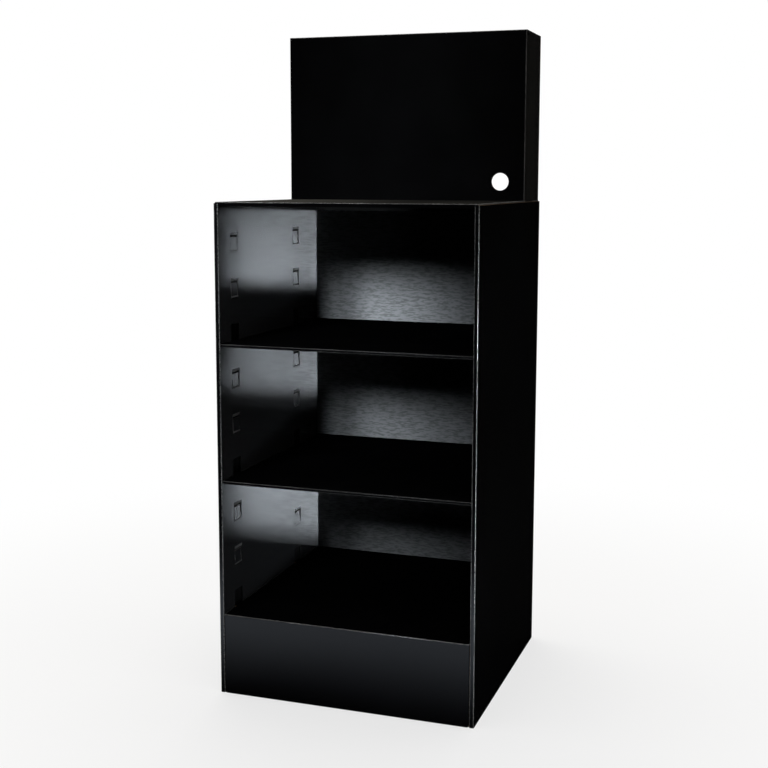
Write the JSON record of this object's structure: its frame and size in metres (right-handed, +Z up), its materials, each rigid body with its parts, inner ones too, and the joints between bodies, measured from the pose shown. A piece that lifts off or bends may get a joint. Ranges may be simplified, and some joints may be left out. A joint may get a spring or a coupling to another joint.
{
  "type": "cardboard display stand",
  "caption": "Free-standing floor display of folded black corrugated board, with double slotted side walls, shelves, a plinth and an open-backed header that has a lead hole.",
  "frame": {"origin": "on the floor, under the middle of the stand's box", "axes": "+Z up, the open front faces -Y, +X to the right as seen from the front"},
  "size_m": [0.58, 0.56, 1.463],
  "materials": {
    "printed_board": "satin",
    "kraft_board": "matte"
  },
  "bodies": {
    "root": {"side_wall_left": "printed_board", "side_wall_right": "printed_board", "back_panel": "printed_board", "shelf_upper": "printed_board", "shelf_lower": "printed_board", "base_tray": "printed_board", "base_divider_long": "kraft_board", "base_divider_cross": "kraft_board", "top_cap": "printed_board", "header": "printed_board"}
  },
  "joints": []
}
